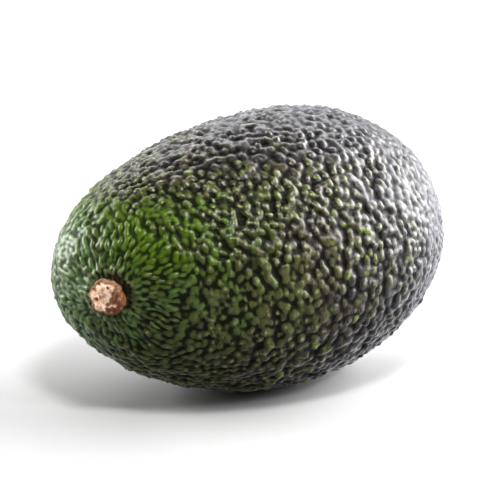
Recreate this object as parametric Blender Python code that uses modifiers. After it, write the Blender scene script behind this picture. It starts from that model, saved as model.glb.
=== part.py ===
"""A whole Hass-type avocado lying on its side, with the corky button that its stem left.

Metres, +Z up. X runs along the fruit, with the stem end at -X. The fruit stands on z = 0, and the
origin is the middle of that footprint, under the centre of the whole object's box.
"""

import math

import bmesh
import bpy
from mathutils import Matrix, Vector, noise

# Driving dimensions of the fruit
FRUIT_LENGTH = 0.100
FRUIT_WIDTH = 0.0655
STEM_END_TAPER = 0.09  # how much slimmer the stem end is than the blossom end
STEM_END_FULLNESS = 0.02  # how much rounder each end is than an ellipse
BLOSSOM_END_FULLNESS = 0.045
NECK_START = 0.1  # where the neck's lean starts, as a share of the half length
NECK_LEAN = Vector((0, 0.0030, 0.0026))  # how far the neck's tip leans off the axis
LUMP_HEIGHT = 0.00045  # broad, shallow lumps of the whole skin
LUMPS_ACROSS = 2.1

# How it lies
STEM_END_DROOP = math.radians(3.5)  # the slimmer stem end sinks until the fruit balances
REST_SPOT_DEPTH = 0.0005  # how far the soft skin is pressed flat where it rests

# The stem button, a turned knob. Heights are measured from the skin around it
STEM_DIRECTION = Vector((-0.90, -0.43, 0.05))  # on the neck's shoulder, beside its tip
FOOT_RADIUS = 0.0027
FOOT_DEPTH = 0.0009  # how deep the foot sits in the skin
BUTTON_PROFILE = (  # (radius, height), from the middle of the top down to the middle of the foot
    (0, 0.0024),
    (0.0016, 0.0025),
    (0.0034, 0.0028),
    (0.0041, 0.0023),
    (0.0043, 0.0015),
    (0.0040, 0.0008),
    (0.0031, 0.0003),
    (FOOT_RADIUS, -FOOT_DEPTH),
    (0, -FOOT_DEPTH),
)
SOCKET_GAP = 0.0003  # all round the foot

# Mesh density
FRUIT_SEGMENTS = 60
FRUIT_RINGS = 38
TURNED_STEPS = 24


def clear_scene():
    for obj in list(bpy.data.objects):
        bpy.data.objects.remove(obj)


def new_collection(name, hidden=False):
    made = bpy.data.collections.new(name)
    bpy.context.scene.collection.children.link(made)
    made.hide_render = hidden
    return made


def new_material(name, colour, roughness):
    made = bpy.data.materials.new(name)
    made.use_nodes = True
    shader = made.node_tree.nodes["Principled BSDF"]
    shader.inputs["Base Color"].default_value = (*colour, 1)
    shader.inputs["Roughness"].default_value = roughness
    shader.inputs["Metallic"].default_value = 0
    return made


def new_object(name, mesh, collection, material=None):
    made = bpy.data.objects.new(name, mesh)
    collection.objects.link(made)
    if material:
        mesh.materials.append(material)
    return made


def egg_swell(along):
    """Radius at a share along the axis (-1 stem end, 1 blossom end) over that of a plain ellipse."""
    fullness = BLOSSOM_END_FULLNESS if along > 0 else STEM_END_FULLNESS
    return 1 + STEM_END_TAPER * along + fullness * along**2


def widest_swell():
    shares = [i / 100 for i in range(-100, 101)]
    return max(math.sqrt(1 - t * t) * egg_swell(t) for t in shares)


WIDEST_SWELL = widest_swell()


def skin_point(direction):
    """Where the skin lies for a point on the unit sphere."""
    across = FRUIT_WIDTH / 2 * egg_swell(direction.x) / WIDEST_SWELL
    neck = max(0, (NECK_START - direction.x) / (1 + NECK_START))
    point = Vector((direction.x * FRUIT_LENGTH / 2, direction.y * across, direction.z * across))
    lump = LUMP_HEIGHT * noise.noise(direction * LUMPS_ACROSS)
    return point + NECK_LEAN * neck**2 + direction * lump


def make_fruit(collection, material):
    """A sphere primitive with its poles on the X axis, each point of which is moved to the skin."""
    bm = bmesh.new()
    poles_on_x = Matrix.Rotation(math.pi / 2, 4, "Y")
    bmesh.ops.create_uvsphere(
        bm, u_segments=FRUIT_SEGMENTS, v_segments=FRUIT_RINGS, radius=1, matrix=poles_on_x
    )
    for vert in bm.verts:
        vert.co = skin_point(vert.co)
    mesh = bpy.data.meshes.new("fruit")
    bm.to_mesh(mesh)
    bm.free()
    fruit = new_object("fruit", mesh, collection, material)
    mesh.shade_smooth()
    return fruit


def turned(name, profile, collection, material=None):
    """A solid turned about its own Z from a profile that starts and ends on that axis, top to bottom."""
    mesh = bpy.data.meshes.new(name)
    points = [(radius, 0, height) for radius, height in profile]
    mesh.from_pydata(points, [(i, i + 1) for i in range(len(points) - 1)], [])
    made = new_object(name, mesh, collection, material)
    screw = made.modifiers.new("Turned", "SCREW")
    screw.steps = TURNED_STEPS
    screw.render_steps = TURNED_STEPS
    screw.use_merge_vertices = True
    screw.merge_threshold = 0.00005
    screw.use_smooth_shade = True
    return made


def socket_profile():
    """The seat's cutter: a straight-sided plug that runs well out past the skin."""
    top = 0.006
    radius = FOOT_RADIUS + SOCKET_GAP
    bottom = -FOOT_DEPTH - SOCKET_GAP
    return ((0, top), (radius, top), (radius, bottom), (0, bottom))


def stand_on_stem_spot(obj, fruit):
    """Places obj where the stem grew, with its Z along the skin's outward normal."""
    _, point, normal, _ = fruit.closest_point_on_mesh(skin_point(STEM_DIRECTION.normalized()))
    obj.location = point
    obj.rotation_euler = normal.to_track_quat("Z", "X").to_euler()
    obj.parent = fruit.parent


def cut(target, cutter):
    made = target.modifiers.new(f"Cut by {cutter.name}", "BOOLEAN")
    made.operation = "DIFFERENCE"
    made.solver = "EXACT"
    made.object = cutter
    cutter.hide_render = True
    cutter.display_type = "WIRE"


def world_box(objects):
    """Lowest and highest corner of the objects as they are evaluated."""
    bpy.context.view_layer.update()
    graph = bpy.context.evaluated_depsgraph_get()
    points = []
    for obj in objects:
        shown = obj.evaluated_get(graph)
        points += [shown.matrix_world @ vert.co for vert in shown.data.vertices]
    low = Vector(min(p[i] for p in points) for i in range(3))
    high = Vector(max(p[i] for p in points) for i in range(3))
    return low, high


def make_table_cutter(collection):
    """A block whose top is z = 0: it takes the sliver of skin that the fruit's weight presses flat."""
    bm = bmesh.new()
    depth = 0.02
    below = Matrix.Translation((0, 0, -depth / 2)) @ Matrix.Diagonal((0.2, 0.2, depth, 1))
    bmesh.ops.create_cube(bm, size=1, matrix=below)
    mesh = bpy.data.meshes.new("table")
    bm.to_mesh(mesh)
    bm.free()
    return new_object("table", mesh, collection)


def main():
    clear_scene()
    avocado = new_collection("avocado")
    cutters = new_collection("cutters", hidden=True)
    skin = new_material("skin", (0.045, 0.07, 0.02), 0.42)
    cork = new_material("cork", (0.42, 0.25, 0.12), 0.85)

    pose = bpy.data.objects.new("fruit_axis", None)
    avocado.objects.link(pose)
    pose.rotation_euler = (0, -STEM_END_DROOP, 0)

    fruit = make_fruit(avocado, skin)
    fruit.parent = pose
    bpy.context.view_layer.update()

    button = turned("stem_button", BUTTON_PROFILE, avocado, cork)
    socket = turned("stem_socket", socket_profile(), cutters)
    for piece in (button, socket):
        stand_on_stem_spot(piece, fruit)
    cut(fruit, socket)

    low, high = world_box((fruit, button))
    middle = (low + high) / 2
    pose.location = (-middle.x, -middle.y, -low.z - REST_SPOT_DEPTH)
    cut(fruit, make_table_cutter(cutters))


main()
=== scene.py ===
import math

import bpy
import numpy as np
from mathutils import Matrix, Vector, kdtree, noise


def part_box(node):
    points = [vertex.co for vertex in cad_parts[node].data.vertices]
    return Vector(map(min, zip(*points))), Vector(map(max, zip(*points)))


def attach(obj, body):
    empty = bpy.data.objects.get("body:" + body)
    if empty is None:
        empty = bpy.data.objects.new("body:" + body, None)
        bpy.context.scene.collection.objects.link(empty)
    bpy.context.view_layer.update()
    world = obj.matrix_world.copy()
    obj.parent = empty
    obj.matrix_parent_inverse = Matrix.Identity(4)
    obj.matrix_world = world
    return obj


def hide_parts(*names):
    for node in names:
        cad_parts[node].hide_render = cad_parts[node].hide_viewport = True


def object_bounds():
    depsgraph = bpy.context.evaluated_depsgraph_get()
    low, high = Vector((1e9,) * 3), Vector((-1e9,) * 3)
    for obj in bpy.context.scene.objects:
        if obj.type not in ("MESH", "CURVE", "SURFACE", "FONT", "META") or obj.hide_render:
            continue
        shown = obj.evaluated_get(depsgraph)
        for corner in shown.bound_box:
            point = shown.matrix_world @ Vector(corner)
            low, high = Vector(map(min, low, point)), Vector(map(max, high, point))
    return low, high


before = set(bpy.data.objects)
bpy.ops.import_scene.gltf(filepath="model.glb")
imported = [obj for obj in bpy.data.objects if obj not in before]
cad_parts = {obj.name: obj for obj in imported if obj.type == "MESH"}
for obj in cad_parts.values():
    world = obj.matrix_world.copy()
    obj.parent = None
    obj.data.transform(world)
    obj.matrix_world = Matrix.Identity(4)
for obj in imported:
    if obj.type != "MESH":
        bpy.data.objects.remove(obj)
cadLow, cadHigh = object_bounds()
print("frame loaded:", sorted(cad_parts))

millimetre = 0.001
footDepth = 0.0009  # how deep the stem button's foot sits in the skin


def deselectAll():
    if bpy.context.mode != "OBJECT":
        bpy.ops.object.mode_set(mode="OBJECT")
    bpy.ops.object.select_all(action="DESELECT")


def pick(obj):
    deselectAll()
    obj.select_set(True)
    bpy.context.view_layer.objects.active = obj


def applied(obj, kind, **settings):  # adds a modifier and applies it at once
    pick(obj)
    modifier = obj.modifiers.new(kind.title(), kind)
    for name, value in settings.items():
        setattr(modifier, name, value)
    bpy.ops.object.modifier_apply(modifier=modifier.name)


def vectorsOf(mesh, kind):
    flat = np.empty(len(mesh.vertices) * 3, np.float32)
    mesh.vertices.foreach_get(kind, flat)
    return flat.reshape(-1, 3).astype(float)


def pointsOf(mesh):
    return vectorsOf(mesh, "co")


def normalsOf(mesh):
    return vectorsOf(mesh, "normal")


def movePoints(mesh, points):
    mesh.vertices.foreach_set("co", points.astype(np.float32).ravel())
    mesh.update()


def paint(mesh, name, values):  # stores one number or one vector for each point
    kind = "FLOAT" if values.ndim == 1 else "FLOAT_VECTOR"
    layer = mesh.attributes.new(name, kind, "POINT")
    key = "value" if values.ndim == 1 else "vector"
    layer.data.foreach_set(key, values.astype(np.float32).ravel())


def unit(vectors):
    return vectors / np.maximum(np.linalg.norm(vectors, axis=1, keepdims=True), 1e-12)


def smooth(values, low, high):  # 0 at low, 1 at high, with a soft start and end
    share = np.clip((values - low) / (high - low), 0, 1)
    return share * share * (3 - 2 * share)


def noiseAt(points, size, shift=0):  # lumps of this size; another shift gives other lumps
    return np.array([noise.noise(Vector(p)) for p in (points + shift) / size])


def noiseVectorAt(points, size, seed):
    noise.seed_set(seed)  # without it, this noise differs from run to run
    return np.array([noise.noise_vector(Vector(p)) for p in points / size])


def findStem():
    # The corky button is a turned disc, so its axis is the direction in which its points spread least
    points = pointsOf(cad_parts["stem_button"].data)
    middle = points.mean(0)
    _, axes = np.linalg.eigh(np.cov((points - middle).T))
    axis = axes[:, 0]
    fruitMiddle = pointsOf(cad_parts["fruit"].data).mean(0)
    if axis @ (middle - fruitMiddle) < 0:
        axis = -axis
    foot = middle + axis * ((points - middle) @ axis).min()
    return {"axis": axis, "foot": foot, "seat": foot + axis * footDepth}  # seat: where it meets the skin


stem = findStem()


fruitSkin = {
    "coarseHalvings": 5,  # of a cube: 32 cells along each edge, while it is drawn onto the form
    "fineHalvings": 2,  # then 128
    "mergeWithin": 0.000002,
    "seatClear": 0.0036,  # the button's seat is closed out to here
    "seatDepth": 0.0001,  # what lies deeper than this is the seat's floor
    "seatSlope": 0.5,  # what leans less than this towards the button's axis is its wall
    "evening": [(0.5, 6), (0.5, 6), (0.4, 2)],  # (strength, rounds) after each time it is drawn on
    "boxClear": 0.00002,  # the skin keeps this far inside the solid's box
    # (share of the way from stem to blossom end, pebble width, pebble height)
    "pebbles": [(0.0, 0.00125, 0.00080), (0.18, 0.00130, 0.00095), (0.40, 0.00150, 0.00120),
                (0.65, 0.00170, 0.00130), (0.82, 0.00150, 0.00095), (1.0, 0.00140, 0.00070)],
    "widthSwing": (0.25, 0.007),  # the share by which it wanders, and over what distance
    "heightSwing": (0.35, 0.009),
    "stemPebble": (0.00080, 0.00042),  # width and height beside the button
    "stemReach": 0.014,  # how far from the button its ridges run
    "stemStretch": 3.4,  # how long a ridge is for its width
    "stemPinch": 0.45,  # how much closer together the mesh's points are round the button
    "stemPinchReach": 0.7,  # in radians round the fruit's middle
    "middleStretch": 1.45,  # farther off, a pebble is longer round the fruit than along it
    "turnOver": (0.05, 0.35),  # closeness to the button over which the way they lie changes
    "sway": 0.30,  # how far off that way a pebble may grow, as a share of half a turn
    "swaySize": 0.0025,
    "sizeSpread": (0.75, 1.35),
    "neighbours": 12,  # pebbles looked at from each point
    "warp": 0.00035,  # how far the pebbles' outlines wander
    "warpSize": 0.0018,
    "blendSharpness": 9.0,
    "domeReach": 0.85,
    "domePower": 1.35,
    "domeLift": 0.6,  # how much of a tall pebble's extra height is above the skin
    "lowest": 0.40,  # the lowest pebble for the tallest
    "lumpHeight": 0.00045,
    "lumpSize": 0.0038,
    "evenEnd": 0.6,  # how far the lumps fade out at the blossom end
    "evenFrom": (0.6, 0.85),
    "grainHeight": 0.00018,
    "grainSize": 0.0011,
    "riseScale": 0.00020,
    "riseScaleStem": 0.55,  # of that, beside the button
    "riseRounds": 14,  # over how wide a patch a point's rise is judged
    "highest": 99.5,  # percentile of the relief that lies at the form
    "dimpleDepth": 0.0006,
    "dimpleRadius": 0.0048,
    "collarHeight": 0.0007,  # of the lip of skin round the button
    "collarRadius": 0.0060,
    "collarWidth": 0.0009,
    "collarSwing": (0.7, 0.6, 0.002),  # least height, how much it wanders, over what distance
    "candidates": 70000,
    "seed": 7,
}


def smoothForm(look):
    # A closed, merged copy of the solid fruit: the new skin is drawn onto it
    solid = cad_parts["fruit"]
    form = bpy.data.objects.new("fruitForm", solid.data.copy())
    bpy.context.scene.collection.objects.link(form)
    pick(form)
    bpy.ops.object.mode_set(mode="EDIT")
    bpy.ops.mesh.select_all(action="SELECT")
    bpy.ops.mesh.remove_doubles(threshold=look["mergeWithin"])
    bpy.ops.mesh.select_all(action="DESELECT")
    bpy.ops.mesh.select_mode(type="FACE")
    bpy.ops.object.mode_set(mode="OBJECT")
    seat = Vector(stem["seat"])
    axis = Vector(stem["axis"])
    for face in form.data.polygons:  # the floor and wall of the button's seat
        away = face.center - seat
        height = away.dot(axis)
        out = (away - height * axis).length
        isFloor = height < -look["seatDepth"]
        isWall = abs(face.normal.dot(axis)) < look["seatSlope"]
        face.select = out < look["seatClear"] and (isFloor or isWall)
    bpy.ops.object.mode_set(mode="EDIT")
    bpy.ops.mesh.delete(type="FACE")
    bpy.ops.mesh.select_mode(type="EDGE")
    bpy.ops.mesh.select_non_manifold()
    bpy.ops.mesh.edge_face_add()
    bpy.ops.object.mode_set(mode="OBJECT")
    return form


def pinchToStem(points, toStem, look):  # on a sphere: draws the points together round the stem
    radius = np.linalg.norm(points, axis=1).mean()
    angle = np.arccos(np.clip(unit(points) @ toStem, -1, 1))
    pinched = angle * (1 - look["stemPinch"] * np.exp(-((angle / look["stemPinchReach"]) ** 2)))
    aside = unit(unit(points) - (unit(points) @ toStem)[:, None] * toStem)
    return radius * (np.cos(pinched)[:, None] * toStem + np.sin(pinched)[:, None] * aside), radius


def drawSkin(look):
    form = smoothForm(look)
    low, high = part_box("fruit")
    size = high - low
    middle = (low + high) / 2
    deselectAll()
    bpy.ops.mesh.primitive_cube_add(size=1, location=(0, 0, 0))
    skin = bpy.context.object
    skin.name = "fruit_skin"
    bpy.ops.object.mode_set(mode="EDIT")
    bpy.ops.mesh.select_all(action="SELECT")
    for _ in range(look["coarseHalvings"]):
        bpy.ops.mesh.subdivide(number_cuts=1)
        bpy.ops.transform.tosphere(value=1)
    bpy.ops.object.mode_set(mode="OBJECT")
    toStem = unit(((stem["seat"] - np.array(middle)) / np.array(size))[None])[0]
    points, radius = pinchToStem(pointsOf(skin.data), toStem, look)
    movePoints(skin.data, points)
    skin.scale = size / (2 * radius)
    skin.location = middle
    pick(skin)
    bpy.ops.object.transform_apply(location=True, rotation=True, scale=True)
    for strength, rounds in look["evening"]:  # onto the form, then evened out along it
        applied(skin, "SHRINKWRAP", target=form, wrap_method="NEAREST_SURFACEPOINT")
        applied(skin, "SMOOTH", factor=strength, iterations=rounds)
    fine = look["fineHalvings"]
    applied(skin, "SUBSURF", levels=fine, render_levels=fine)
    bpy.data.objects.remove(form)
    return skin


def skinPlaces(points, normals):
    # For each point: its distance from the button, the way that leads off from it, its share along the fruit
    fromStem = points - stem["seat"]
    gap = np.linalg.norm(fromStem, axis=1)
    away = unit(fromStem - (fromStem * normals).sum(1)[:, None] * normals)
    along = np.clip((points[:, 0] - cadLow.x) / (cadHigh.x - cadLow.x), 0, 1)
    return gap, away, along


def pebbleSizes(points, along, close, look):
    # For each point: how wide and tall a pebble is there, and how long for its width
    shares, widths, heights = np.array(look["pebbles"]).T
    swing, distance = look["widthSwing"]
    width = np.interp(along, shares, widths) * (1 + swing * noiseAt(points, distance))
    swing, distance = look["heightSwing"]
    height = np.interp(along, shares, heights) * (1 + swing * noiseAt(points, distance, shift=9))
    stemWidth, stemHeight = look["stemPebble"]
    width += (stemWidth - width) * close
    height += (stemHeight - height) * close
    stretch = look["middleStretch"] + (look["stemStretch"] - look["middleStretch"]) * close
    return width, height, stretch


def growWays(points, normals, away, close, look):
    # A pebble grows away from the button near it, and round the fruit farther off
    aside = np.cross(normals, away)
    turn = 0.5 * (1 - smooth(close, *look["turnOver"]))
    turn += look["sway"] * noiseAt(points, look["swaySize"], shift=3) * (1 - close)
    return away * np.cos(turn * math.pi)[:, None] + aside * np.sin(turn * math.pi)[:, None]


def scatterPebbles(points, grow, width, stretch, look):
    # Picks points in a random order, each at least a pebble's width from those picked before it
    random = np.random.default_rng(look["seed"])
    cell = float((width * stretch).max())
    grid = {}
    picked = []
    around = [(i, j, k) for i in (-1, 0, 1) for j in (-1, 0, 1) for k in (-1, 0, 1)]
    for n in random.permutation(len(points))[: look["candidates"]]:
        place = points[n]
        key = tuple(int(math.floor(c / cell)) for c in place)
        near = []
        for i, j, k in around:
            near += grid.get((key[0] + i, key[1] + j, key[2] + k), ())
        if near:
            offset = points[near] - place
            along = offset @ grow[n]
            across = (offset**2).sum(1) - along**2
            if (across + (along / stretch[n]) ** 2).min() < width[n] ** 2:
                continue
        grid.setdefault(key, []).append(n)
        picked.append(n)
    return np.array(picked)


def pebbleCells(points, seeds, grow, width, stretch, look):
    # For each point: the nearest pebbles, nearest first, and how far off their middles are in pebble widths
    tree = kdtree.KDTree(len(seeds))
    for n, seed in enumerate(seeds):
        tree.insert(points[seed], n)
    tree.balance()
    random = np.random.default_rng(look["seed"] + 1)
    size = width[seeds] * random.uniform(*look["sizeSpread"], len(seeds))
    warped = points + look["warp"] * noiseVectorAt(points, look["warpSize"], look["seed"])
    near = np.array([[hit[1] for hit in tree.find_n(p, look["neighbours"])] for p in warped])
    offset = warped[:, None, :] - points[seeds][near]
    along = (offset * grow[seeds][near]).sum(2)
    across = np.maximum((offset**2).sum(2) - along**2, 0)
    reach = np.sqrt(across + (along / stretch[seeds][near]) ** 2) / size[near]
    order = np.argsort(reach, axis=1)
    return np.take_along_axis(near, order, 1), np.take_along_axis(reach, order, 1)


def blendPebbles(near, reach, many, look):
    # For each point, blended where pebbles meet: how tall, which tint, how far from the middle
    random = np.random.default_rng(look["seed"] + 2)
    sharpness = look["blendSharpness"]
    pull = np.exp(-sharpness * (reach - reach[:, :1]))
    share = pull / pull.sum(1, keepdims=True)
    tall = (random.uniform(look["lowest"], 1.0, many)[near] * share).sum(1)
    tint = (random.random(many)[near] * share).sum(1)
    softReach = reach[:, 0] - np.log(pull.sum(1)) / sharpness
    return tall, tint, softReach


def pebbleRelief(points, along, height, tall, softReach, look):
    relief = -height * tall * np.clip(softReach / look["domeReach"], 0, 1) ** look["domePower"]
    relief += height * look["domeLift"] * tall
    lumps = look["lumpHeight"] * (1 - look["evenEnd"] * smooth(along, *look["evenFrom"]))
    relief += lumps * noiseAt(points, look["lumpSize"])
    relief += look["grainHeight"] * noiseAt(points, look["grainSize"])
    return relief


def evenedOut(mesh, values, rounds):
    # For each point: the mean over its surroundings, by way of the edges
    ends = np.empty(len(mesh.edges) * 2, np.int32)
    mesh.edges.foreach_get("vertices", ends)
    a, b = ends.reshape(-1, 2).T
    many = np.bincount(ends, minlength=len(values))
    for _ in range(rounds):
        total = np.bincount(a, values[b], len(values)) + np.bincount(b, values[a], len(values))
        values = 0.5 * values + 0.5 * total / many
    return values


def sunkBelowForm(points, relief, gap, look):
    # How far each point lies below the form: in a valley, in the dimple, less on the lip round the button
    sunk = np.percentile(relief, look["highest"]) - relief
    sunk += look["dimpleDepth"] * np.exp(-((gap / look["dimpleRadius"]) ** 2))
    collar = np.exp(-(((gap - look["collarRadius"]) / look["collarWidth"]) ** 2))
    least, swing, distance = look["collarSwing"]
    sunk -= look["collarHeight"] * collar * (least + swing * noiseAt(points, distance))
    return sunk


def raisePebbles(skin, look):
    mesh = skin.data
    points = pointsOf(mesh)
    normals = normalsOf(mesh)
    gap, away, along = skinPlaces(points, normals)
    close = np.exp(-((gap / look["stemReach"]) ** 2))  # 1 beside the button, 0 far from it
    width, height, stretch = pebbleSizes(points, along, close, look)
    grow = growWays(points, normals, away, close, look)
    seeds = scatterPebbles(points, grow, width, stretch, look)
    near, reach = pebbleCells(points, seeds, grow, width, stretch, look)
    print("pebbles:", len(seeds))

    tall, tint, softReach = blendPebbles(near, reach, len(seeds), look)
    relief = pebbleRelief(points, along, height, tall, softReach, look)
    scale = look["riseScale"] * (1 - (1 - look["riseScaleStem"]) * close)
    rise = 0.5 + 0.5 * (relief - evenedOut(mesh, relief, look["riseRounds"])) / scale
    spot = points - points[seeds][near[:, 0]]
    sunk = sunkBelowForm(points, relief, gap, look)
    points -= normals * sunk[:, None]
    clear = look["boxClear"]
    movePoints(mesh, np.clip(points, np.array(cadLow) + clear, np.array(cadHigh) - clear))
    paint(mesh, "pebbleRise", rise)
    paint(mesh, "pebbleTint", tint)
    paint(mesh, "pebbleSpot", spot / millimetre)
    paint(mesh, "stemGap", gap / millimetre)
    paint(mesh, "skyward", normals[:, 2])


buttonLook = {
    "sides": 36,
    # (radius, height over the foot) of each ring, from the foot up and over the rim to the dished top
    "rings": [(0.0029, 0.0), (0.0031, 0.0010), (0.0038, 0.0014), (0.0042, 0.0020), (0.0042, 0.0027),
              (0.0038, 0.0033), (0.0031, 0.0037), (0.0023, 0.0038), (0.0013, 0.0036), (0.0004, 0.0034)],
    "halvings": 3,
    # (bumps round the outline, their depth as a share of the radius, where they start in radians)
    "outline": [(6, 0.05, 0.7), (2, 0.03, 1.1)],
    "outlineSwing": (0.04, 0.0024),  # the share by which it wanders, and over what distance
    # (height, size)
    "lumps": [(0.00040, 0.0014), (0.00020, 0.0007), (0.00012, 0.0003)],
    "pitDepth": 0.00032,
    "pitSize": 0.0013,
    "pitFrom": (0.12, 0.50),
    # (where it starts, where it is full)
    "topHeight": (0.0022, 0.0034),
    "sideHeight": (0.0030, 0.0014),
    "rimRadius": (0.0026, 0.0040),
}


def buttonMatrix():
    turn = Vector(stem["axis"]).to_track_quat("Z", "Y").to_matrix().to_4x4()
    return Matrix.Translation(Vector(stem["foot"])) @ turn


def turnButton(look):
    deselectAll()
    radius, height = look["rings"][0]
    bpy.ops.mesh.primitive_circle_add(vertices=look["sides"], radius=radius, fill_type="NGON")
    button = bpy.context.object
    button.name = "stem_cork"
    bpy.ops.object.mode_set(mode="EDIT")
    bpy.ops.mesh.select_all(action="SELECT")
    for nextRadius, nextHeight in look["rings"][1:]:
        rise = (0, 0, nextHeight - height)
        bpy.ops.mesh.extrude_region_move(TRANSFORM_OT_translate={"value": rise})
        share = nextRadius / radius
        bpy.ops.transform.resize(value=(share, share, 1))
        radius, height = nextRadius, nextHeight
    bpy.ops.mesh.select_all(action="SELECT")
    bpy.ops.mesh.normals_make_consistent(inside=False)
    bpy.ops.object.mode_set(mode="OBJECT")
    applied(button, "SUBSURF", levels=look["halvings"], render_levels=look["halvings"])
    return button


def makeButton(look):
    button = turnButton(look)
    mesh = button.data
    points = pointsOf(mesh)
    normals = normalsOf(mesh)
    angle = np.arctan2(points[:, 1], points[:, 0])
    radius = np.hypot(points[:, 0], points[:, 1])
    swing, distance = look["outlineSwing"]
    outline = 1 + swing * noiseAt(points * [1, 1, 0], distance)
    for bumps, depth, start in look["outline"]:
        outline += depth * np.cos(bumps * angle + start)
    points[:, :2] *= outline[:, None]
    height = points[:, 2].copy()
    pits = smooth(noiseAt(points, look["pitSize"], shift=5), *look["pitFrom"])
    pits *= smooth(height, *look["topHeight"])
    relief = sum(tall * noiseAt(points, size) for tall, size in look["lumps"])
    points += normals * (relief - look["pitDepth"] * pits)[:, None]
    movePoints(mesh, points)
    paint(mesh, "corkPit", pits)
    paint(mesh, "corkSide", smooth(height, *look["sideHeight"]))
    paint(mesh, "corkRim", smooth(radius, *look["rimRadius"]))
    mesh.transform(buttonMatrix())
    mesh.update()
    return button


def newMaterial(name):
    material = bpy.data.materials.new(name)
    material.use_nodes = True
    tree = material.node_tree
    return material, tree, tree.nodes["Principled BSDF"]


def setShader(shader, values):  # sockets take a link, colours three numbers, the rest one number
    for name, value in values.items():
        if isinstance(value, bpy.types.NodeSocket):
            shader.id_data.links.new(value, shader.inputs[name])
        elif isinstance(value, tuple):
            shader.inputs[name].default_value = (*value, 1)
        else:
            shader.inputs[name].default_value = value


def node(tree, kind, inputs=None, **settings):
    made = tree.nodes.new(kind)
    for name, value in settings.items():
        setattr(made, name, value)
    for name, value in (inputs or {}).items():
        if isinstance(value, bpy.types.NodeSocket):
            tree.links.new(value, made.inputs[name])
        else:
            made.inputs[name].default_value = value
    return made


def mathNode(tree, operation, a, b=0.0, clamp=False):
    made = node(tree, "ShaderNodeMath", {0: a, 1: b}, operation=operation, use_clamp=clamp)
    return made.outputs[0]


def times(tree, *values, clamp=False):
    product = values[0]
    for value in values[1:]:
        product = mathNode(tree, "MULTIPLY", product, value, clamp)
    return product


def plus(tree, *values):
    total = values[0]
    for value in values[1:]:
        total = mathNode(tree, "ADD", total, value)
    return total


def swung(tree, value, swing):  # 0 to 1 becomes minus half the swing to plus half of it
    return times(tree, mathNode(tree, "SUBTRACT", value, 0.5), swing)


def remap(tree, value, low, high, toLow=0.0, toHigh=1.0, soft=True):
    kind = "SMOOTHSTEP" if soft else "LINEAR"
    inputs = {"Value": value, "From Min": low, "From Max": high, "To Min": toLow, "To Max": toHigh}
    return node(tree, "ShaderNodeMapRange", inputs, interpolation_type=kind).outputs["Result"]


def blendColour(tree, share, a, b, mode="MIX"):
    made = node(tree, "ShaderNodeMix", {0: share}, data_type="RGBA", blend_type=mode)
    for index, value in ((6, a), (7, b)):  # the node's own two colour inputs
        if isinstance(value, bpy.types.NodeSocket):
            tree.links.new(value, made.inputs[index])
        else:
            made.inputs[index].default_value = (*value, 1)
    return made.outputs[2]


def noiseNode(tree, place, size, detail=2.0):
    inputs = {"Vector": place, "Scale": 1 / size, "Detail": detail, "Roughness": 0.55}
    return node(tree, "ShaderNodeTexNoise", inputs).outputs["Fac"]


def attribute(tree, name, output="Fac"):
    return node(tree, "ShaderNodeAttribute", attribute_name=name).outputs[output]


def grainGroup():
    # Mottling and fine relief at two sizes, which both the skin and the cork use
    group = bpy.data.node_groups.new("fineGrain", "ShaderNodeTree")
    group.interface.new_socket("Place", in_out="INPUT", socket_type="NodeSocketVector")
    for name in ("Coarse size", "Fine size"):
        group.interface.new_socket(name, in_out="INPUT", socket_type="NodeSocketFloat")
    for name in ("Mottle", "Relief"):
        group.interface.new_socket(name, in_out="OUTPUT", socket_type="NodeSocketFloat")
    start = group.nodes.new("NodeGroupInput").outputs
    end = group.nodes.new("NodeGroupOutput").inputs
    grains = []
    for size, detail in (("Coarse size", 4.0), ("Fine size", 3.0)):
        scale = mathNode(group, "DIVIDE", 1.0, start[size])
        inputs = {"Vector": start["Place"], "Scale": scale, "Detail": detail}
        grains.append(node(group, "ShaderNodeTexNoise", inputs).outputs["Fac"])
    for name, coarseShare in (("Mottle", 0.6), ("Relief", 0.35)):
        coarse = times(group, grains[0], coarseShare)
        fine = times(group, grains[1], 1 - coarseShare)
        group.links.new(plus(group, coarse, fine), end[name])
    return group


def grain(tree, group, place, sizes):
    inputs = {"Place": place, "Coarse size": sizes[0], "Fine size": sizes[1]}
    made = node(tree, "ShaderNodeGroup", inputs, node_tree=group)
    return made.outputs["Mottle"], made.outputs["Relief"]


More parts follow.
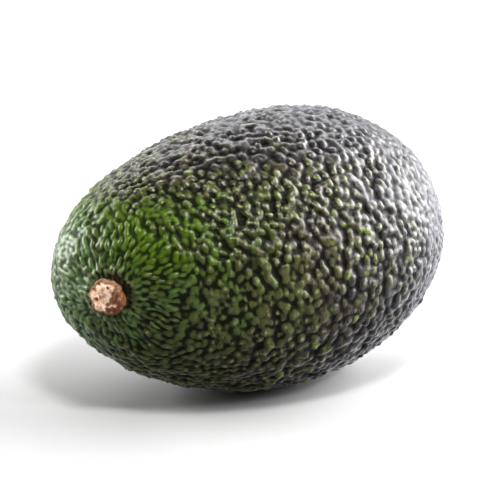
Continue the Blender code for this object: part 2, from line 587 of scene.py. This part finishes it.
skinFinish = {
    # (share of the way from stem to blossom end, colour)
    "ripening": [(0.0, (0.095, 0.158, 0.052)), (0.12, (0.052, 0.078, 0.011)), (0.34, (0.056, 0.064, 0.010)),
                 (0.50, (0.043, 0.034, 0.010)), (0.64, (0.022, 0.014, 0.010)), (1.0, (0.009, 0.006, 0.009))],
    "vivid": (0.088, 0.150, 0.003),  # the fresh green patch above the button
    "bloomAndSheen": (0.080, 0.081, 0.091),  # the waxy dust of the ripe end, made paler as a painted sheen
    # pale pebble crowns: partly the skin's own tone, partly a painted highlight
    "tip": (0.19, 0.22, 0.10),
    "ring": (0.030, 0.018, 0.008),
    # painted shade in the gap beside the button
    "lip": (0.26, 0.26, 0.15),
    "speck": (0.36, 0.38, 0.20),
    "lime": (0.13, 0.20, 0.012),
    "valleyShade": 0.14,  # how bright a valley is for its crown: painted shade in the valleys
    "paleValleyShade": 0.4,  # the same painted valley shade in the palest parts
    "patchSize": 0.022,
    "blotchSize": 0.0048,
    "limeSize": 0.0024,
    "shadeRingRagged": (0.0012, 2.0),  # size, and how far it wanders in millimetres
    "speckRagged": (0.0007, 0.9),
    "speckShuffle": 7.31,  # mixes up which pebbles have one
    "grainSizes": (0.0011, 0.00035),
    # how much patches, single pebbles and blotches differ in ripeness
    "ripeSwing": (0.34, 0.26, 0.30),
    "youngSwing": (0.20, 0.10),
    # how much of its colour is laid on
    "limeShare": 0.65,
    "tipShare": 0.55,
    "speckShare": 0.3,
    "freshValley": 0.6,
    # Masks: (from, to), or (from, to, value at the first, value at the second)
    # The shade ring, lip and speck edges are in millimetres from the middle
    "crown": (0.17, 0.77),
    "mottle": (0.25, 0.75, 0.7, 1.3),
    "ripeAbove": (0.68, 0.96, 0.0, 0.38),
    # painted shade: the lower part is pushed towards black
    "shadeBelow": (0.0, -0.9, 0.0, 0.14),
    "freshAlong": (0.03, 0.12),
    "freshYoung": (0.28, 0.13),
    "freshUp": (-0.05, 0.40, 0.0, 0.9),
    "freshBelowTop": (0.90, 0.66),
    "freshFront": (0.004, 0.020, 1.0, 0.4),  # in metres across the fruit
    "bloomSheenAlong": (0.50, 0.96),
    # less of the painted sheen below, as painted shade
    "bloomSheenUp": (-0.8, 0.1, 0.2, 1.0),
    "bloomSheenPatchy": (0.6, 1.3, 0.4, 1.0),
    "paleStem": (0.14, 0.02, 0.0, 0.7),
    "limeRipe": [(0.44, 0.56), (0.74, 0.60)],
    "limeNoise": (0.52, 0.70),
    "shadeRingEdge": (4.9, 4.2, 0.0, 0.9),
    "lipEdges": [(4.6, 5.3), (6.8, 5.6)],
    "lipUp": (-0.25, 0.25, 0.10, 0.55),
    "tipRise": (0.9, 1.7),
    "tipRipe": (0.75, 0.45, 0.10, 1.0),
    "speckEdge": (0.55, 0.25),
    "speckRise": (0.5, 0.7),
    "speckMany": (0.55, 0.7),
    "speckRipe": [(0.12, 0.34), (0.95, 0.6)],
    "roughness": (0.35, 0.7, 0.65, 0.45),  # by ripeness
    "gloss": (0.2, 0.65, 0.15, 1.0),  # by rise
    "glossBloomSheen": (0.0, 1.0, 1.0, 0.22),
    "glossFresh": (0.0, 1.0, 1.0, 0.45),
    "glossBelow": (-0.7, 0.15, 0.3, 1.0),
    "glossMottle": (0.3, 0.7, 0.7, 1.1),
    "bump": (0.9, 0.0003),  # strength, distance
    "shader": {"Coat Roughness": 0.32, "Coat IOR": 1.46, "Specular IOR Level": 0.15, "Sheen Weight": 0.55,
               "Sheen Roughness": 0.32, "Sheen Tint": (0.93, 0.95, 1.0)},
}


def skinMeasures(tree, look):
    # Where a spot lies on the fruit and on its pebble
    place = node(tree, "ShaderNodeTexCoord").outputs["Object"]
    xyz = node(tree, "ShaderNodeSeparateXYZ", {"Vector": place}).outputs
    return {
        "place": place,
        "along": remap(tree, xyz["X"], cadLow.x, cadHigh.x, soft=False),
        "across": xyz["Y"],
        "up": remap(tree, xyz["Z"], cadLow.z, cadHigh.z, -1.0, 1.0, soft=False),
        "patches": noiseNode(tree, place, look["patchSize"]),
        "rise": attribute(tree, "pebbleRise"),
        "tint": attribute(tree, "pebbleTint"),
        "spot": attribute(tree, "pebbleSpot", "Vector"),
        "skyward": attribute(tree, "skyward"),
        "stemGap": attribute(tree, "stemGap"),
    }


def ripeness(tree, at, look):
    # 0 is young and green, 1 is black. It goes from end to end, unevenly, and is sooner above; the push
    # towards black below is painted shade
    blotches = noiseNode(tree, at["place"], look["blotchSize"])
    patchSwing, tintSwing, blotchSwing = look["ripeSwing"]
    uneven = [swung(tree, at["patches"], patchSwing), swung(tree, at["tint"], tintSwing)]
    uneven.append(swung(tree, blotches, blotchSwing))
    above = remap(tree, at["skyward"], *look["ripeAbove"])
    below = remap(tree, at["up"], *look["shadeBelow"])
    return plus(tree, at["along"], *uneven, above, below)


def freshness(tree, at, look):
    # The vivid green patch above the button, stronger in front than behind
    patchSwing, tintSwing = look["youngSwing"]
    uneven = [swung(tree, at["patches"], patchSwing), swung(tree, at["tint"], tintSwing)]
    young = plus(tree, at["along"], *uneven)
    return times(
        tree,
        remap(tree, at["along"], *look["freshAlong"]),
        remap(tree, young, *look["freshYoung"]),
        remap(tree, at["up"], *look["freshUp"]),
        remap(tree, at["skyward"], *look["freshBelowTop"]),
        remap(tree, at["across"], *look["freshFront"]),
    )


def waxyBloomAndSheen(tree, at, look):
    # Waxy dust at the ripe end, partly real and partly a painted sheen, with less of it below as painted
    # shade
    return times(
        tree,
        remap(tree, at["along"], *look["bloomSheenAlong"]),
        remap(tree, at["up"], *look["bloomSheenUp"]),
        remap(tree, plus(tree, at["patches"], at["tint"]), *look["bloomSheenPatchy"]),
    )


def ripeningColour(tree, ripe, look):
    ramp = node(tree, "ShaderNodeValToRGB", {"Fac": ripe})
    ramp.color_ramp.interpolation = "B_SPLINE"
    stops = ramp.color_ramp.elements
    while len(stops) < len(look["ripening"]):
        stops.new(0.5)
    for stop, (share, colour) in zip(stops, look["ripening"]):
        stop.position = share
        stop.color = (*colour, 1)
    return ramp.outputs["Color"]


def brightness(tree, at, mottle, fresh, bloomAndSheen, look):
    # Mottled, and darker in the valleys as painted shade, but less so where the skin is pale or fresh
    pale = mathNode(tree, "MAXIMUM", bloomAndSheen, remap(tree, at["along"], *look["paleStem"]))
    pale = mathNode(tree, "MAXIMUM", pale, times(tree, fresh, look["freshValley"]))
    valley = remap(tree, pale, 0.0, 1.0, look["valleyShade"], look["paleValleyShade"])
    mottled = remap(tree, mottle, *look["mottle"], soft=False)
    shade = times(tree, mottled, remap(tree, at["crown"], 0.0, 1.0, valley, 1.0, soft=False))
    return node(tree, "ShaderNodeCombineColor", {0: shade, 1: shade, 2: shade}).outputs[0]


def limeFlecks(tree, at, ripe, colour, look):
    # Flecks that have not turned yet, where the green gives way to black
    starts, ends = (remap(tree, ripe, *edge) for edge in look["limeRipe"])
    late = remap(tree, noiseNode(tree, at["place"], look["limeSize"]), *look["limeNoise"])
    share = times(tree, starts, ends, late, at["crown"], look["limeShare"])
    return blendColour(tree, share, colour, look["lime"])


def stemShadeRingAndLip(tree, at, colour, look):
    # A dark ring of painted shade beside the button, then a paler lip, more so on its upper side
    size, swing = look["shadeRingRagged"]
    gap = plus(tree, at["stemGap"], swung(tree, noiseNode(tree, at["place"], size, 3.0), swing))
    colour = blendColour(tree, remap(tree, gap, *look["shadeRingEdge"]), colour, look["ring"])
    inner, outer = (remap(tree, gap, *edge) for edge in look["lipEdges"])
    lip = times(tree, inner, outer, remap(tree, at["up"], *look["lipUp"]), at["crown"])
    return blendColour(tree, lip, colour, look["lip"])


def paleTipsAndGlints(tree, at, ripe, colour, look):
    # Paler crowns on the green skin, partly the skin's own tone and partly a painted highlight standing in
    # for glints
    tip = times(tree, remap(tree, at["rise"], *look["tipRise"]), remap(tree, ripe, *look["tipRipe"]))
    return blendColour(tree, times(tree, tip, look["tipShare"]), colour, look["tip"])


def corkySpecks(tree, at, ripe, colour, look):
    # A pale speck on the crown of many pebbles
    size, swing = look["speckRagged"]
    ragged = swung(tree, noiseNode(tree, at["place"], size, 3.0), swing)
    out = node(tree, "ShaderNodeVectorMath", {0: at["spot"]}, operation="LENGTH").outputs["Value"]
    edge = remap(tree, plus(tree, out, ragged), *look["speckEdge"])
    top = remap(tree, at["rise"], *look["speckRise"])
    shuffled = mathNode(tree, "FRACT", times(tree, at["tint"], look["speckShuffle"]))
    chosen = remap(tree, shuffled, *look["speckMany"])
    starts, ends = (remap(tree, ripe, *limit) for limit in look["speckRipe"])
    share = times(tree, edge, top, chosen, starts, ends, look["speckShare"])
    return blendColour(tree, share, colour, look["speck"])


def skinGloss(tree, at, mottle, fresh, bloomAndSheen, look):
    # Crowns shine, and the dusty parts with painted sheen, fresh and downward parts less so
    return times(
        tree,
        remap(tree, at["rise"], *look["gloss"]),
        remap(tree, bloomAndSheen, *look["glossBloomSheen"]),
        remap(tree, fresh, *look["glossFresh"]),
        remap(tree, at["skyward"], *look["glossBelow"]),
        remap(tree, mottle, *look["glossMottle"], soft=False),
        clamp=True,
    )


def bumpFrom(tree, relief, bump):
    strength, distance = bump
    inputs = {"Height": relief, "Strength": strength, "Distance": distance}
    return node(tree, "ShaderNodeBump", inputs).outputs["Normal"]


def skinMaterial(look, group):
    material, tree, shader = newMaterial("avocado_skin")
    at = skinMeasures(tree, look)
    at["crown"] = remap(tree, at["rise"], *look["crown"])
    mottle, relief = grain(tree, group, at["place"], look["grainSizes"])
    ripe = ripeness(tree, at, look)
    fresh = freshness(tree, at, look)
    bloomAndSheen = waxyBloomAndSheen(tree, at, look)

    colour = ripeningColour(tree, ripe, look)
    colour = blendColour(tree, fresh, colour, look["vivid"])
    colour = blendColour(tree, bloomAndSheen, colour, look["bloomAndSheen"])
    colour = blendColour(tree, 1.0, colour, brightness(tree, at, mottle, fresh, bloomAndSheen, look), "MULTIPLY")
    colour = limeFlecks(tree, at, ripe, colour, look)
    colour = stemShadeRingAndLip(tree, at, colour, look)
    colour = paleTipsAndGlints(tree, at, ripe, colour, look)
    colour = corkySpecks(tree, at, ripe, colour, look)

    setShader(shader, {
        "Base Color": colour,
        "Roughness": remap(tree, ripe, *look["roughness"]),
        "Coat Weight": skinGloss(tree, at, mottle, fresh, bloomAndSheen, look),
        "Normal": bumpFrom(tree, relief, look["bump"]),
    })
    setShader(shader, look["shader"])
    return material


corkFinish = {
    "pale": (0.78, 0.61, 0.49),
    "warm": (0.50, 0.31, 0.21),
    "rim": (0.17, 0.086, 0.042),
    # partly a brown stain, partly painted shade on one side
    "stainAndShade": (0.12, 0.045, 0.022),
    "pit": (0.27, 0.125, 0.062),
    "side": (0.10, 0.050, 0.022),
    "stainShadeWay": (0.43, -0.80, -0.42),  # towards the browner side, which is partly stain and partly painted shade
    "stainShadeSpread": 70.0,  # over the top, this makes it run from about -0.3 to 0.3
    "stainShadeSize": 0.0026,
    "rimSwing": 0.8,
    "grainSizes": (0.0014, 0.00030),
    # Masks: (from, to), or (from, to, value at the first, value at the second)
    "paleMottle": (0.38, 0.58),
    "stainShadeEdge": (0.50, 0.68, 0.0, 0.95),
    "rimEdge": (0.75, 1.25, 0.0, 0.85),
    "pitEdge": (0.05, 0.9),
    "sideMottle": (0.3, 0.6, 1.0, 0.8),
    "roughness": (0.3, 0.7, 0.92, 0.76),
    "bump": (0.8, 0.0004),  # strength, distance
    "shader": {"Specular IOR Level": 0.3},
}


def stainAndShadeMask(tree, place, look):
    # The button is browner towards one side: partly a stain, partly painted shade
    aside = node(tree, "ShaderNodeVectorMath", {0: place, 1: tuple(stem["seat"])}, operation="SUBTRACT")
    inputs = {0: aside.outputs[0], 1: look["stainShadeWay"]}
    way = node(tree, "ShaderNodeVectorMath", inputs, operation="DOT_PRODUCT").outputs["Value"]
    spread = times(tree, way, look["stainShadeSpread"])
    return remap(tree, plus(tree, spread, noiseNode(tree, place, look["stainShadeSize"])), *look["stainShadeEdge"])


def corkMaterial(look, group):
    material, tree, shader = newMaterial("stem_cork")
    place = node(tree, "ShaderNodeTexCoord").outputs["Object"]
    mottle, relief = grain(tree, group, place, look["grainSizes"])
    colour = blendColour(tree, remap(tree, mottle, *look["paleMottle"]), look["warm"], look["pale"])
    colour = blendColour(tree, stainAndShadeMask(tree, place, look), colour, look["stainAndShade"])
    rim = plus(tree, attribute(tree, "corkRim"), times(tree, mottle, look["rimSwing"]))
    colour = blendColour(tree, remap(tree, rim, *look["rimEdge"]), colour, look["rim"])
    pit = remap(tree, attribute(tree, "corkPit"), *look["pitEdge"])
    colour = blendColour(tree, pit, colour, look["pit"])
    side = times(tree, attribute(tree, "corkSide"), remap(tree, mottle, *look["sideMottle"]))
    colour = blendColour(tree, side, colour, look["side"])
    setShader(shader, {
        "Base Color": colour,
        "Roughness": remap(tree, mottle, *look["roughness"]),
        "Normal": bumpFrom(tree, relief, look["bump"]),
    })
    setShader(shader, look["shader"])
    return material


studio = {
    "floorSides": 96,
    "floorRings": [(1.8, 0.0), (2.3, 0.06), (2.9, 0.32), (3.3, 0.9)],  # (radius, height) of the rising rim
    "floor": {"Base Color": (0.40, 0.40, 0.40), "Roughness": 0.8, "Specular IOR Level": 0.2},
    "world": (1.0, 1.0, 1.0),
    "worldStrength": 0.05,
    # name: (azimuth, elevation, distance, width, height, watts)
    "lights": {
        "leftPanel": (-140, 15, 0.75, 0.60, 0.60, 8.8),
        "rightPanel": (75, 18, 0.75, 0.95, 0.80, 23.5),
        "topPanel": (152, 44, 0.90, 1.00, 0.42, 5.0),
        "frontPanel": (-22, 56, 0.90, 0.17, 0.15, 5.0),
        "glintPanel": (16, 36, 0.90, 0.08, 0.08, 1.8),
    },
    "viewAzimuth": -34,
    "viewElevation": 18,
    "lens": 278,
    "distance": 0.90,
    "clip": (0.01, 20),
    "viewTransform": "Standard",
    "contrast": "High Contrast",
}


def directionFrom(azimuth, elevation):
    a = math.radians(azimuth)
    e = math.radians(elevation)
    return Vector((math.sin(a) * math.cos(e), -math.cos(a) * math.cos(e), math.sin(e)))


def makeFloor(look):
    deselectAll()
    radius, height = look["floorRings"][0]
    bpy.ops.mesh.primitive_circle_add(vertices=look["floorSides"], radius=radius, fill_type="NGON")
    floor = bpy.context.object
    floor.name = "floor"
    bpy.ops.object.mode_set(mode="EDIT")
    bpy.ops.mesh.select_mode(type="EDGE")
    bpy.ops.mesh.select_all(action="SELECT")
    bpy.ops.mesh.region_to_loop()
    for nextRadius, nextHeight in look["floorRings"][1:]:
        rise = (0, 0, nextHeight - height)
        bpy.ops.mesh.extrude_edges_move(TRANSFORM_OT_translate={"value": rise})
        share = nextRadius / radius
        bpy.ops.transform.resize(value=(share, share, 1), center_override=(0, 0, nextHeight))
        radius, height = nextRadius, nextHeight
    bpy.ops.object.mode_set(mode="OBJECT")
    floor.data.shade_smooth()
    material, _, shader = newMaterial("studio_floor")
    setShader(shader, look["floor"])
    floor.data.materials.append(material)


def aim(obj, target, azimuth, elevation, distance):  # places it that way from the target, facing it
    back = directionFrom(azimuth, elevation)
    obj.location = target + back * distance
    obj.rotation_euler = back.to_track_quat("Z", "Y").to_euler()


def makeLights(look, target):
    for name, (azimuth, elevation, distance, width, height, watts) in look["lights"].items():
        light = bpy.data.lights.new(name, "AREA")
        light.shape = "RECTANGLE"
        light.size = width
        light.size_y = height
        light.energy = watts
        lamp = bpy.data.objects.new(name, light)
        bpy.context.scene.collection.objects.link(lamp)
        aim(lamp, target, azimuth, elevation, distance)
        lamp.visible_camera = False


def makeWorld(look):
    world = bpy.data.worlds.new("studio")
    world.use_nodes = True
    background = world.node_tree.nodes["Background"]
    background.inputs["Color"].default_value = (*look["world"], 1)
    background.inputs["Strength"].default_value = look["worldStrength"]
    bpy.context.scene.world = world


def makeCamera(look, target):
    camera = bpy.data.cameras.new("camera")
    camera.lens = look["lens"]
    camera.clip_start, camera.clip_end = look["clip"]
    holder = bpy.data.objects.new("camera", camera)
    bpy.context.scene.collection.objects.link(holder)
    aim(holder, target, look["viewAzimuth"], look["viewElevation"], look["distance"])
    bpy.context.scene.camera = holder
    bpy.context.scene.view_settings.view_transform = look["viewTransform"]
    bpy.context.scene.view_settings.look = look["contrast"]


skin = drawSkin(fruitSkin)
print("skin drawn:", len(skin.data.polygons), "faces")
raisePebbles(skin, fruitSkin)
skin.data.shade_smooth()
print("pebbles raised")

button = makeButton(buttonLook)
button.data.shade_smooth()
print("stem button made:", len(button.data.polygons), "faces")

fineGrain = grainGroup()
skin.data.materials.append(skinMaterial(skinFinish, fineGrain))
button.data.materials.append(corkMaterial(corkFinish, fineGrain))
print("materials made")

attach(skin, "root")
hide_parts("fruit")
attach(button, "root")
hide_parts("stem_button")

centre = (cadLow + cadHigh) / 2
makeFloor(studio)
makeLights(studio, centre)
makeWorld(studio)
makeCamera(studio, centre)
print("studio made")
